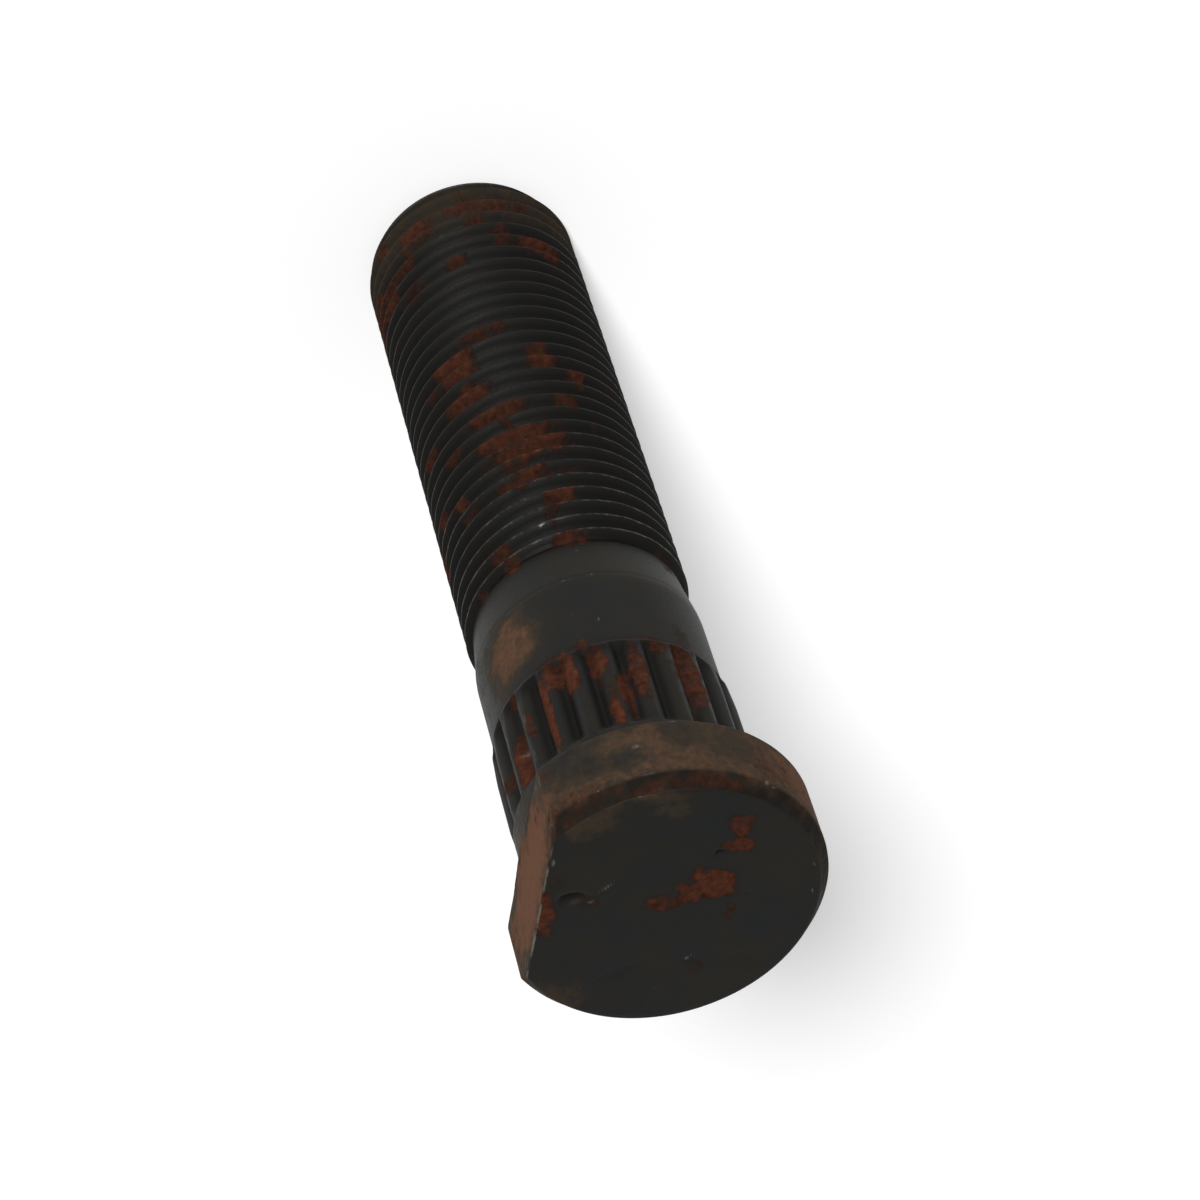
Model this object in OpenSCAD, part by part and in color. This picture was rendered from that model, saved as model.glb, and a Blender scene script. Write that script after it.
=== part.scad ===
// Wheel stud: a headed, ribbed press-in stud, forged and turned in one piece.
// It stands on its threaded end. The axis is Z and the head is at the top.
// Millimetres.

/* [Thread] */
// Major diameter of the right-hand thread
thread_d = 16; // [10:0.5:24]
// Thread pitch, which sets the neck's depth and the lead chamfer
thread_pitch = 1.5; // [1:0.25:2]
// Length of the flat end face to the last thread at the neck
thread_l = 42.9; // [25:0.1:70]
// Diameter of the flat face at the threaded end
end_face_d = 14.6; // [8:0.1:15]

/* [Shank] */
// Diameter of the smooth shoulder between thread and ribs
shoulder_d = 16; // [12:0.1:20]
// Length of the cone that rises from the neck to the shoulder
neck_cone_l = 3.55; // [2:0.05:8]
// Straight length of the neck
neck_l = 0.3; // [0.2:0.1:3]
// Length of the smooth shoulder
shoulder_l = 6.8; // [3:0.1:14]

/* [Ribs] */
// Diameter over the ribs
rib_d = 16.8; // [13:0.1:21]
// Number of ribs round the shank
rib_count = 24; // [12:1:36]
// Length of the ribs, their sloping ends included
rib_l = 8.5; // [4:0.1:14]
// Length of the slope from the shoulder up to the ribs
rib_rise_l = 0.5; // [0.3:0.1:2]
// Length of the slope from the ribs down to the collar
rib_fall_l = 1; // [0.3:0.1:2]
// Width of the narrow crest on top of a rib
rib_crest_w = 0.26; // [0.1:0.02:0.8]
// How far the middle of a rib's flank bulges out of a straight slope
flank_bulge = 0.1; // [0:0.01:0.15]
// Width of the flat bottom of a groove
groove_floor_w = 0.2; // [0.1:0.02:0.4]
// Depth of a groove below the top of the ribs
groove_depth = 0.7; // [0.4:0.05:1]
// Length over which a groove runs out to the surface at each end
groove_runout_l = 1; // [0.3:0.05:2]

/* [Head] */
// Diameter of the round head
head_d = 22; // [19:0.1:30]
// Thickness of the head
head_t = 5.7; // [3:0.1:10]
// Distance of the locating flat from the axis
flat_from_axis = 8.4; // [8.4:0.05:10.8]
// Width of the chamfer round the top of the head, seen from above
head_chamfer_w = 0.8; // [0.2:0.05:1.5]
// Height of that chamfer down the side of the head
head_chamfer_h = 1.1; // [0.2:0.05:2]
// Length of the plain collar between the ribs and the head
collar_l = 2.8; // [2:0.1:8]
// Radius of the fillet between the collar and the underside of the head
seat_fillet_r = 0.6; // [0.2:0.05:1.2]

/* [Quality] */
// Facets round the full circle in the preview
round_fn = 96; // [48:12:180]

/* [Hidden] */

// The neck is as thick as the blank of a rolled thread, 0.3248 of the pitch below the crests
neck_depth = 0.3248 * thread_pitch;
thread_r = thread_d / 2;
neck_r = thread_r - neck_depth;
shoulder_r = shoulder_d / 2;
rib_r = rib_d / 2;
head_r = head_d / 2;
end_face_r = end_face_d / 2;
// The plain collar has the shoulder's diameter
collar_r = shoulder_r;

// Heights above the flat end face
lead_top = thread_pitch;
neck_bottom = thread_l + neck_depth * tan(30);
neck_top = neck_bottom + neck_l;
shoulder_bottom = neck_top + neck_cone_l;
rib_bottom = shoulder_bottom + shoulder_l;
rib_top = rib_bottom + rib_l;
seat_z = rib_top + collar_l;
head_top = seat_z + head_t;

// A cut reaches this far past the surface that it opens
cut_over = 1;
rib_pitch_deg = 360 / rib_count;
// Half the angle that a groove takes between two crests
groove_half_deg = (rib_pitch_deg - 360 * rib_crest_w / (PI * rib_d)) / 2;
groove_floor_r = rib_r - groove_depth;
// Steps in the quarter circle of the seat fillet
fillet_steps = 8;

// Quarter circle from the collar out to the underside of the head
function fillet_points() = [
    for (i = [0:fillet_steps])
        let (a = 90 * i / fillet_steps)
        [collar_r + seat_fillet_r * (1 - cos(a)), seat_z - seat_fillet_r * (1 - sin(a))]
];

// Half section of the shank from the end face to the seat, with the ribs' full diameter
module shank_section() {
    polygon(concat(
        [
            [0, 0],
            [end_face_r, 0],
            [thread_r, lead_top],
            [thread_r, thread_l],
            [neck_r, neck_bottom],
            [neck_r, neck_top],
            [shoulder_r, shoulder_bottom],
            [shoulder_r, rib_bottom],
            [rib_r, rib_bottom + rib_rise_l],
            [rib_r, rib_top - rib_fall_l],
            [collar_r, rib_top]
        ],
        fillet_points(),
        [[0, seat_z]]
    ));
}

// Half section of the head with its top chamfer
module head_section() {
    polygon([
        [0, seat_z],
        [head_r, seat_z],
        [head_r, head_top - head_chamfer_h],
        [head_r - head_chamfer_w, head_top],
        [0, head_top]
    ]);
}

function polar(r, a) = [r * cos(a), r * sin(a)];

// Cross section of one groove: bulging flanks from the crests down to a narrow floor
module groove_section() {
    flank_mid_r = rib_r - groove_depth / 2 + flank_bulge;
    flank_mid_deg = groove_half_deg / 2 + asin(groove_floor_w / 4 / groove_floor_r);
    half = [
        [groove_floor_r, groove_floor_w / 2],
        polar(flank_mid_r, flank_mid_deg),
        polar(rib_r, groove_half_deg),
        polar(rib_r + cut_over, groove_half_deg)
    ];
    polygon(concat(half, [for (i = [len(half) - 1:-1:0]) [half[i][0], -half[i][1]]]));
}

// Depth of one groove along the shank: it runs out to the surface at both ends
module groove_side_view() {
    reach = groove_runout_l * cut_over / groove_depth;
    polygon([
        [groove_floor_r, rib_bottom + groove_runout_l],
        [rib_r + cut_over, rib_bottom - reach],
        [rib_r + cut_over, rib_top + reach],
        [groove_floor_r, rib_top - groove_runout_l]
    ]);
}

// One groove on the +X side, as deep and as long as both outlines allow
module groove() {
    intersection() {
        translate([0, 0, rib_bottom - cut_over])
            linear_extrude(height = rib_l + 2 * cut_over)
                groove_section();
        rotate([90, 0, 0])
            linear_extrude(height = rib_d, center = true)
                groove_side_view();
    }
}

// Grooves all round, with a rib in the middle of the flat's side
module grooves() {
    for (i = [0:rib_count - 1])
        rotate([0, 0, (i + 0.5) * rib_pitch_deg])
            groove();
}

// The locating flat takes a segment off the +X side of the head and of the seat fillet
module flat_cut() {
    cut_bottom = seat_z - seat_fillet_r - cut_over;
    translate([flat_from_axis, -head_r - cut_over, cut_bottom])
        cube([head_r, head_d + 2 * cut_over, head_top + cut_over - cut_bottom]);
}

module wheel_stud() {
    color([0.16, 0.16, 0.15])
    difference() {
        rotate_extrude($fn = round_fn) {
            shank_section();
            head_section();
        }
        grooves();
        flat_cut();
    }
}

wheel_stud();
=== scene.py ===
"""Wheel stud in dark phosphated steel with rust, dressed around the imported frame.

The stud stands on its threaded end: the axis is Z, the head is on top and the locating flat faces +X.
Sizes here are in millimetres and become metres where a mesh is made.
"""

import math
from types import SimpleNamespace

import bmesh
import bpy
import numpy as np
from mathutils import Matrix, Vector, noise


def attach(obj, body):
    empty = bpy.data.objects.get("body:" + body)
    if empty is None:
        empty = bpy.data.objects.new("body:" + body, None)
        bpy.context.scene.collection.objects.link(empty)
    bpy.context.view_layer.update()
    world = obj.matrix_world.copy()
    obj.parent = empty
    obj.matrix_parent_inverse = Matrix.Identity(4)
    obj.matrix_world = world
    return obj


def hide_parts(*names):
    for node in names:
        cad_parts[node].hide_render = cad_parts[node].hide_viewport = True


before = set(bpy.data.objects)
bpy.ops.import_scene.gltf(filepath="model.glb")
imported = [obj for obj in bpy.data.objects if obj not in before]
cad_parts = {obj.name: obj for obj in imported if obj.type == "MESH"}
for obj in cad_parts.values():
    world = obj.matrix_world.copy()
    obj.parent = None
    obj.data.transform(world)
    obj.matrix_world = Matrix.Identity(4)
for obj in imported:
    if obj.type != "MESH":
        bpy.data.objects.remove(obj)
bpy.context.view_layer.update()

MM = 0.001

# Sizes, as in the part's source but for a thicker collar, a larger fillet and an eased rise to the ribs
THREAD_R = 8.0
PITCH = 1.5
THREAD_L = 42.9
END_FACE_R = 7.3
LEAD_L = PITCH
# Below the crests, the root of the thread and the blank that the thread is rolled on lie this deep
ROOT_DEPTH = 0.6134 * PITCH
BLANK_DEPTH = 0.3248 * PITCH
ROOT_R = THREAD_R - ROOT_DEPTH
NECK_R = THREAD_R - BLANK_DEPTH
# The last thread runs down to the neck at the angle of the thread's flanks
RUNOUT_TAN = math.tan(math.radians(30))
NECK_BOTTOM = THREAD_L + (THREAD_R - NECK_R) * RUNOUT_TAN
NECK_L = 0.3
NECK_TOP = NECK_BOTTOM + NECK_L
CONE_L = 3.55
SHOULDER_R = 8.0
SHOULDER_L = 6.8
SHOULDER_BOTTOM = NECK_TOP + CONE_L
RIB_BOTTOM = SHOULDER_BOTTOM + SHOULDER_L
RIB_L = 8.5
RIB_TOP = RIB_BOTTOM + RIB_L
RIB_R = 8.4
# The rise to the ribs is steep up to a share of its height, and the rest of it is eased
RIB_RISE_L = 0.5
RIB_RISE_SHARE = 0.65
RIB_EASE_L = 3.0
RIB_FALL_L = 1.0
RIB_COUNT = 24
RIB_CREST_W = 0.26
FLANK_BULGE = 0.1
GROOVE_FLOOR_HALF = 0.1
GROOVE_DEPTH = 0.7
GROOVE_RUNOUT_L = 1.0
COLLAR_R = 8.3
COLLAR_L = 2.8
FILLET_R = 0.9
SEAT_Z = RIB_TOP + COLLAR_L
HEAD_R = 11.0
HEAD_T = 5.7
HEAD_TOP = SEAT_Z + HEAD_T
FLAT_X = 8.4
CHAMFER_W = 0.8
CHAMFER_H = 1.1
CHAMFER_LOW = HEAD_TOP - CHAMFER_H

# Edges of the mesh that bend by more than this stay crisp
SHARP_ANGLE = math.radians(38)
# Points closer than this are one point: in mm where copies meet and in the whole skin, in metres in a test
WELD = 0.002
DOUBLE = 0.0005
SAME_PLACE = 1e-6
# A point nearer than this to a level cut, in metres, counts as on it
CUT_TOLERANCE = 1e-8


def ring_points(radii, height, azimuths):
    """Points of one ring round the axis, in mm."""
    level = np.full(len(azimuths), height)
    return np.stack([radii * np.cos(azimuths), radii * np.sin(azimuths), level], axis=1)


def grid_mesh(name, points, closed):
    """A mesh from a grid of points in mm: rows up, columns round the axis."""
    rows, columns = points.shape[:2]
    index = np.arange(rows * columns).reshape(rows, columns)
    if closed:
        index = np.concatenate([index, index[:, :1]], axis=1)
    quads = np.stack([index[:-1, :-1], index[:-1, 1:], index[1:, 1:], index[1:, :-1]], axis=-1)
    mesh = bpy.data.meshes.new(name)
    mesh.from_pydata((points.reshape(-1, 3) * MM).tolist(), [], quads.reshape(-1, 4).tolist())
    mesh.update()
    return mesh


def spans(parts):
    """Values from a list of (from, to, steps)."""
    out = [np.linspace(start, end, steps, endpoint=False) for start, end, steps in parts]
    return np.append(np.concatenate(out), parts[-1][1])


def soft_min(a, b, width):
    """The smaller of two radii, with the corner between them rounded over a width."""
    mix = np.clip(0.5 + 0.5 * (b - a) / width, 0, 1)
    return b + (a - b) * mix - width * mix * (1 - mix)


def placed(name, data):
    """A new object in the scene."""
    made = bpy.data.objects.new(name, data)
    bpy.context.scene.collection.objects.link(made)
    return made


def add(tree, kind, links=None, gives=None, **settings):
    """Adds a node with its settings and inputs, and returns the output that is asked for, or the node."""
    node = tree.nodes.new(kind)
    for name, value in settings.items():
        setattr(node, name, value)
    for key, value in (links or {}).items():
        socket = next(s for s in node.inputs if key in (s.identifier, s.name))
        if isinstance(value, bpy.types.NodeSocket):
            tree.links.new(value, socket)
        else:
            socket.default_value = value
    shown = [s for s in node.outputs if s.enabled and gives in (None, s.name)]
    return shown[0] if shown else node


# What repeats: turns of the thread along the axis, and ribs round it
def repeat_tree():
    """Repeats one mesh along and round the Z axis and welds the copies to each other."""
    tree = bpy.data.node_groups.new("repeat_along_and_round", "GeometryNodeTree")
    inputs = (
        ("Geometry", "NodeSocketGeometry"), ("Count", "NodeSocketInt"), ("Rise", "NodeSocketFloat"),
        ("Turn", "NodeSocketFloat"), ("Weld", "NodeSocketFloat"), ("Material", "NodeSocketMaterial"),
    )
    for name, kind in inputs:
        tree.interface.new_socket(name=name, in_out="INPUT", socket_type=kind)
    tree.interface.new_socket(name="Geometry", in_out="OUTPUT", socket_type="NodeSocketGeometry")
    source = tree.nodes.new("NodeGroupInput").outputs
    step = add(tree, "ShaderNodeCombineXYZ", {"Z": source["Rise"]})
    places = add(tree, "GeometryNodeMeshLine", {"Count": source["Count"], "Offset": step}, mode="OFFSET")
    number = add(tree, "GeometryNodeInputIndex")
    angle = add(tree, "ShaderNodeMath", {"Value": number, "Value_001": source["Turn"]}, operation="MULTIPLY")
    turned = add(tree, "ShaderNodeCombineXYZ", {"Z": angle})
    copies = add(tree, "GeometryNodeInstanceOnPoints",
                 {"Points": places, "Instance": source["Geometry"], "Rotation": turned})
    whole = add(tree, "GeometryNodeRealizeInstances", {"Geometry": copies})
    welded = add(tree, "GeometryNodeMergeByDistance", {"Geometry": whole, "Distance": source["Weld"]})
    dressed = add(tree, "GeometryNodeSetMaterial", {"Geometry": welded, "Material": source["Material"]})
    add(tree, "NodeGroupOutput", {"Geometry": dressed})
    return tree


def repeated(tree, mesh, values):
    """The mesh that the tree makes of one unit, with the tree's named inputs set."""
    unit = placed(mesh.name, mesh)
    modifier = unit.modifiers.new("repeat", "NODES")
    modifier.node_group = tree
    for item in tree.interface.items_tree:
        if item.in_out == "INPUT" and item.name in values:
            modifier[item.identifier] = values[item.name]
    graph = bpy.context.evaluated_depsgraph_get()
    made = bpy.data.meshes.new_from_object(unit.evaluated_get(graph))
    unit.modifiers.remove(modifier)
    bpy.data.objects.remove(unit)
    return made


# The thread
THREAD_COLUMNS = 128
# Turns enough to pass both ends of the thread, and the heights of its last and first crest on the +X side
THREAD_TURNS = 31
LAST_CREST = 42.62
FIRST_CREST = LAST_CREST - (THREAD_TURNS - 1) * PITCH
# One tooth: place along the pitch in sixteenths of it, and drop below the major radius in pitches
TOOTH_PARTS = 16
TOOTH = (
    (-0.8, 0.008), (0, 0.0), (0.8, 0.008), (1.5, 0.065), (3.5, 0.2706),
    (6, 0.5413), (8, 0.6134), (10, 0.5413), (12.5, 0.2706), (14.5, 0.065),
)
# Heights where the helical mesh gets a level ring, so that the chamfer and the run-out bend crisply
LEAD_CUTS = (0.3, 0.6, 0.9, 1.2, LEAD_L)
NECK_CUTS = (42.4, 42.65, THREAD_L, 43.04, 43.18)
# The roots grow shallower over this length, and the helical mesh ends a little above the last root
ROOT_RISE_L = 1.0
NECK_JOIN = NECK_BOTTOM + 0.1


def thread_turn():
    """One turn of the right-hand thread: rows follow the helix, so crests stay crisp."""
    azimuths = np.linspace(0, 2 * math.pi, THREAD_COLUMNS + 1)
    next_tooth = (TOOTH[0][0] + TOOTH_PARTS, TOOTH[0][1])
    rows = []
    for place, drop in TOOTH + (next_tooth,):
        points = ring_points(np.full(len(azimuths), THREAD_R - drop * PITCH), 0.0, azimuths)
        points[:, 2] = FIRST_CREST + place * (PITCH / TOOTH_PARTS) + PITCH * azimuths / (2 * math.pi)
        rows.append(points)
    return grid_mesh("thread_turn", np.array(rows), closed=False)


def thread_limits(height):
    """Least and greatest radius at a height: lead chamfer, run-out and the shallower root at the neck."""
    least = np.interp(height, [THREAD_L - ROOT_RISE_L, NECK_BOTTOM], [ROOT_R, NECK_R])
    lead = END_FACE_R + (THREAD_R - END_FACE_R) * np.clip(height / LEAD_L, 0, 1)
    runout = THREAD_R - (height - THREAD_L) / RUNOUT_TAN
    return least, np.maximum(np.minimum(lead, np.where(height > THREAD_L, runout, THREAD_R)), least)


def trimmed_thread(bm):
    """Cuts the long thread to length and turns the lead chamfer and the run-out into it."""
    cuts = [(height, {}) for height in LEAD_CUTS + NECK_CUTS]
    cuts += [(0.0, {"clear_inner": True}), (NECK_JOIN, {"clear_outer": True})]
    for height, cleared in cuts:
        bmesh.ops.bisect_plane(bm, geom=bm.verts[:] + bm.edges[:] + bm.faces[:], dist=CUT_TOLERANCE,
                               plane_co=(0, 0, height * MM), plane_no=(0, 0, 1), **cleared)
    for v in bm.verts:
        radius = math.hypot(v.co.x, v.co.y)
        least, greatest = thread_limits(v.co.z / MM)
        scale = float(np.clip(radius, least * MM, greatest * MM)) / radius
        v.co.x *= scale
        v.co.y *= scale


# Neck, shoulder, ribs and collar
# Rings along the shank: height from and to, and steps between, closer where the outline bends
SHANK_LEVELS = (
    (NECK_JOIN + 0.05, NECK_TOP, 3), (NECK_TOP, NECK_TOP + 0.5, 4),
    (NECK_TOP + 0.5, SHOULDER_BOTTOM - 0.3, 8),
    (SHOULDER_BOTTOM - 0.3, SHOULDER_BOTTOM + 0.3, 6), (SHOULDER_BOTTOM + 0.3, RIB_BOTTOM - 0.1, 12),
    (RIB_BOTTOM - 0.1, RIB_BOTTOM + 1.4, 18), (RIB_BOTTOM + 1.4, RIB_TOP - 1.4, 10),
    (RIB_TOP - 1.4, RIB_TOP + 0.1, 16), (RIB_TOP + 0.1, SEAT_Z - FILLET_R - 0.1, 6),
)
# Points across half a rib pitch as shares of it, from the middle of a groove to the middle of a crest
GROOVE_POINTS = (0.04, 0.12, 0.28, 0.44, 0.59, 0.74, 0.85, 0.92, 1.0)
# The edge at the foot of the shoulder is broken by this much over this half width
SHOULDER_BREAK = 0.03
SHOULDER_BREAK_W = 0.16
# Widths over which the ends and the long edges of the grooves are rounded
GROOVE_END_ROUND = 0.05
GROOVE_EDGE_ROUND = 0.04


def band(values, middle, half_width):
    """1 at the middle of a soft band, and about a third at its half width."""
    return np.exp(-((values - middle) / half_width) ** 2)


def shank_outer(height):
    """Radius of the shank before the grooves are cut."""
    outline = (
        (NECK_TOP, NECK_R), (SHOULDER_BOTTOM, SHOULDER_R), (RIB_BOTTOM, SHOULDER_R),
        (RIB_BOTTOM + RIB_RISE_L, SHOULDER_R + RIB_RISE_SHARE * (RIB_R - SHOULDER_R)),
        (RIB_BOTTOM + RIB_EASE_L, RIB_R), (RIB_TOP - RIB_FALL_L, RIB_R), (RIB_TOP, COLLAR_R),
    )
    broken = SHOULDER_BREAK * band(height, SHOULDER_BOTTOM, SHOULDER_BREAK_W)
    return np.interp(height, *zip(*outline)) - broken


def groove_radius(height, degrees):
    """Radius that a groove leaves at a height and at angles from its middle line."""
    floor = RIB_R - GROOVE_DEPTH
    half_pitch = 180 / RIB_COUNT
    crest_edge = half_pitch - math.degrees(RIB_CREST_W / 2 / RIB_R)
    floor_edge = math.degrees(GROOVE_FLOOR_HALF / floor)
    middle = (crest_edge + floor_edge) / 2
    section = np.interp(np.abs(degrees), [0, floor_edge, middle, crest_edge],
                        [floor, floor, RIB_R - GROOVE_DEPTH / 2 + FLANK_BULGE, RIB_R])
    beyond = np.maximum(RIB_BOTTOM + GROOVE_RUNOUT_L - height, height - RIB_TOP + GROOVE_RUNOUT_L)
    side = floor + GROOVE_DEPTH * beyond / GROOVE_RUNOUT_L
    return -soft_min(-section, -side, GROOVE_END_ROUND)


def shank_sector():
    """One rib pitch of the shank from the neck to the collar, with a groove in the middle."""
    half = np.array(GROOVE_POINTS) * 180 / RIB_COUNT
    across = np.concatenate([-half[::-1], half])
    rows = []
    for height in spans(SHANK_LEVELS):
        plain = np.full(len(across), shank_outer(height))
        radii = soft_min(plain, groove_radius(height, across), GROOVE_EDGE_ROUND)
        rows.append(ring_points(np.maximum(radii, NECK_R), height, np.radians(across + 180 / RIB_COUNT)))
    return grid_mesh("shank_sector", np.array(rows), closed=False)


# The head
# Columns round it in degrees, closer together at the corners of the flat
HEAD_COLUMNS = ((-180, -45, 90), (-45, -30, 30), (-30, 30, 36), (30, 45, 30), (45, 180, 90))
FILLET_STEPS = 8
# Rings of the underside, as shares of the way out from the fillet to the edge
UNDERSIDE_SHARES = (0.2, 0.4, 0.6, 0.8, 1.0)
# Heights of the rings up the side from the seat, and up the chamfer from its lower edge
SIDE_RINGS = (0.4, 0.8, 1.2, 1.6, 2.0, 2.4, 2.8, 3.2, 3.6, 4.0, 4.3)
CHAMFER_RINGS = (0.12, 0.3, 0.5, 0.7, 0.85)
CHAMFER_SLOPE = CHAMFER_W / CHAMFER_H
FACE_RINGS = 50
# The innermost ring of the face as a share of its outermost
INNER_RING_SHARE = 0.03
# Widths over which the head's edges and the corners of the flat are rounded
EDGE_ROUND = 0.16
FILLET_CORNER_ROUND = 0.01
UNDERSIDE_CORNER_ROUND = 0.08
CORNER_ROUND = 0.14
# How far the underside and the face end inside the flat
UNDER_INSIDE_FLAT = 0.05
FACE_INSIDE_FLAT = 0.22
# Rings of the rounded edges: height, and how far each lies inside the head's round and inside its flat
LOWER_EDGE = ((SEAT_Z + 0.05, 0.06, 0.01), (SEAT_Z + EDGE_ROUND, 0, 0))
CHAMFER_EDGE = ((CHAMFER_LOW - 0.12, 0, 0), (CHAMFER_LOW, 0.02, 0))
RIM_EDGE = (
    (HEAD_TOP - 0.14, (CHAMFER_H - 0.14) * CHAMFER_SLOPE, 0.02),
    (HEAD_TOP - 0.06, (CHAMFER_H - 0.06) * CHAMFER_SLOPE + 0.02, 0.06),
    (HEAD_TOP - 0.015, CHAMFER_W + 0.06, 0.13),
)


def head_outline(azimuths, inside_round, inside_flat, corner):
    """Radius of the head's round with its flat, each moved inwards, with the corners rounded."""
    return d_outline(azimuths, HEAD_R - inside_round, FLAT_X - inside_flat, corner)


def d_outline(azimuths, round_r, flat_x, corner):
    """Radius of a circle with a flat on its +X side, with the corners rounded."""
    # Towards the sides and the back the flat's line is so far out that it doesn't count
    least_cos, far = 0.2, 1e3
    towards_flat = np.cos(azimuths)
    flat = np.where(towards_flat > least_cos, flat_x / np.maximum(towards_flat, least_cos), far)
    return soft_min(np.full(len(azimuths), round_r), flat, corner)


def head_rows():
    """Rings of the head from the fillet under the seat to the middle of the face."""
    azimuths = np.radians(spans(HEAD_COLUMNS)[:-1])
    rows = []
    for step in range(FILLET_STEPS + 1):
        a = math.radians(90 * step / FILLET_STEPS)
        fillet = d_outline(azimuths, COLLAR_R + FILLET_R * (1 - math.cos(a)), FLAT_X, FILLET_CORNER_ROUND)
        rows.append(ring_points(fillet, SEAT_Z - FILLET_R * (1 - math.sin(a)), azimuths))
    inner = np.hypot(rows[-1][:, 0], rows[-1][:, 1])
    under = head_outline(azimuths, EDGE_ROUND, UNDER_INSIDE_FLAT, UNDERSIDE_CORNER_ROUND)
    for share in UNDERSIDE_SHARES:
        rows.append(ring_points(inner + (np.maximum(under, inner) - inner) * share, SEAT_Z, azimuths))

    # The rounded lower edge, the forged side, the chamfer and the rounded rim
    side = [*LOWER_EDGE, *((SEAT_Z + up, 0, 0) for up in SIDE_RINGS), *CHAMFER_EDGE,
            *((CHAMFER_LOW + up, up * CHAMFER_SLOPE, 0) for up in CHAMFER_RINGS), *RIM_EDGE]
    for height, inside_round, inside_flat in side:
        outline = head_outline(azimuths, inside_round, inside_flat, CORNER_ROUND)
        rows.append(ring_points(outline, height, azimuths))
    rim = head_outline(azimuths, CHAMFER_W + EDGE_ROUND, FACE_INSIDE_FLAT, CORNER_ROUND)
    for share in np.linspace(1, INNER_RING_SHARE, FACE_RINGS):
        rows.append(ring_points(rim * share, HEAD_TOP, azimuths))
    return rows


# One closed skin
# Radii of the rings on the flat end face, and a length shorter than the gap from the first to the thread
END_CAP_RINGS = (6.9, 5.0, 2.4)
END_CAP_COLUMNS = 96
END_CAP_GAP = 0.05
# The rings round the middle of the head's face that aren't closed yet lie within this radius
FACE_MIDDLE_R = 1.0


def azimuth_of(v):
    """Angle of a point round the axis."""
    return math.atan2(v.co.y, v.co.x)


def rim_at(bm, height):
    """The open rim at a height, in order round the axis."""
    rim = [v for v in bm.verts if v.is_boundary and abs(v.co.z - height * MM) < SAME_PLACE]
    return sorted(rim, key=azimuth_of)


def join_rings(bm, low, high):
    """Closes the band between two rims that differ in their number of points."""
    def angle(ring, i):
        return azimuth_of(ring[i % len(ring)]) + 2 * math.pi * (i // len(ring))
    i = j = 0
    while i < len(low) or j < len(high):
        if j >= len(high) or (i < len(low) and angle(low, i + 1) <= angle(high, j + 1)):
            bm.faces.new((low[i % len(low)], low[(i + 1) % len(low)], high[j % len(high)]))
            i += 1
        else:
            bm.faces.new((low[i % len(low)], high[(j + 1) % len(high)], high[j % len(high)]))
            j += 1


def close_with_pole(bm, ring, height):
    """Closes a ring to a single point on the axis."""
    pole = bm.verts.new((0, 0, height * MM))
    for i in range(len(ring)):
        bm.faces.new((ring[i - 1], ring[i], pole))


def stud_skin(material):
    """The whole stud as one closed mesh."""
    tree = repeat_tree()
    thread = repeated(tree, thread_turn(), {
        "Count": THREAD_TURNS, "Rise": PITCH * MM, "Turn": 0.0, "Weld": WELD * MM, "Material": material})
    shank = repeated(tree, shank_sector(), {
        "Count": RIB_COUNT, "Rise": 0.0, "Turn": 2 * math.pi / RIB_COUNT, "Weld": WELD * MM,
        "Material": material})
    bm = bmesh.new()
    bm.from_mesh(thread)
    trimmed_thread(bm)
    bm.from_mesh(shank)
    bm.from_mesh(grid_mesh("head", np.array(head_rows()), closed=True))
    cap_azimuths = np.linspace(-math.pi, math.pi, END_CAP_COLUMNS, endpoint=False)
    cap = [ring_points(np.full(END_CAP_COLUMNS, r), 0.0, cap_azimuths) for r in END_CAP_RINGS]
    bm.from_mesh(grid_mesh("end_face", np.array(cap), closed=True))

    ends = rim_at(bm, 0.0)
    thread_end = [v for v in ends if v.co.xy.length > (END_CAP_RINGS[0] + END_CAP_GAP) * MM]
    cap_outer, cap_inner = ([v for v in ends if abs(v.co.xy.length - r * MM) < SAME_PLACE]
                            for r in (END_CAP_RINGS[0], END_CAP_RINGS[-1]))
    shank_levels = spans(SHANK_LEVELS)
    join_rings(bm, thread_end, cap_outer)
    close_with_pole(bm, cap_inner, 0.0)
    join_rings(bm, rim_at(bm, NECK_JOIN), rim_at(bm, shank_levels[0]))
    join_rings(bm, rim_at(bm, shank_levels[-1]), rim_at(bm, SEAT_Z - FILLET_R))
    middle = [v for v in rim_at(bm, HEAD_TOP) if v.co.xy.length < FACE_MIDDLE_R * MM]
    close_with_pole(bm, middle, HEAD_TOP)
    bmesh.ops.remove_doubles(bm, verts=bm.verts[:], dist=DOUBLE * MM)
    bmesh.ops.recalc_face_normals(bm, faces=bm.faces[:])
    return bm


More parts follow.
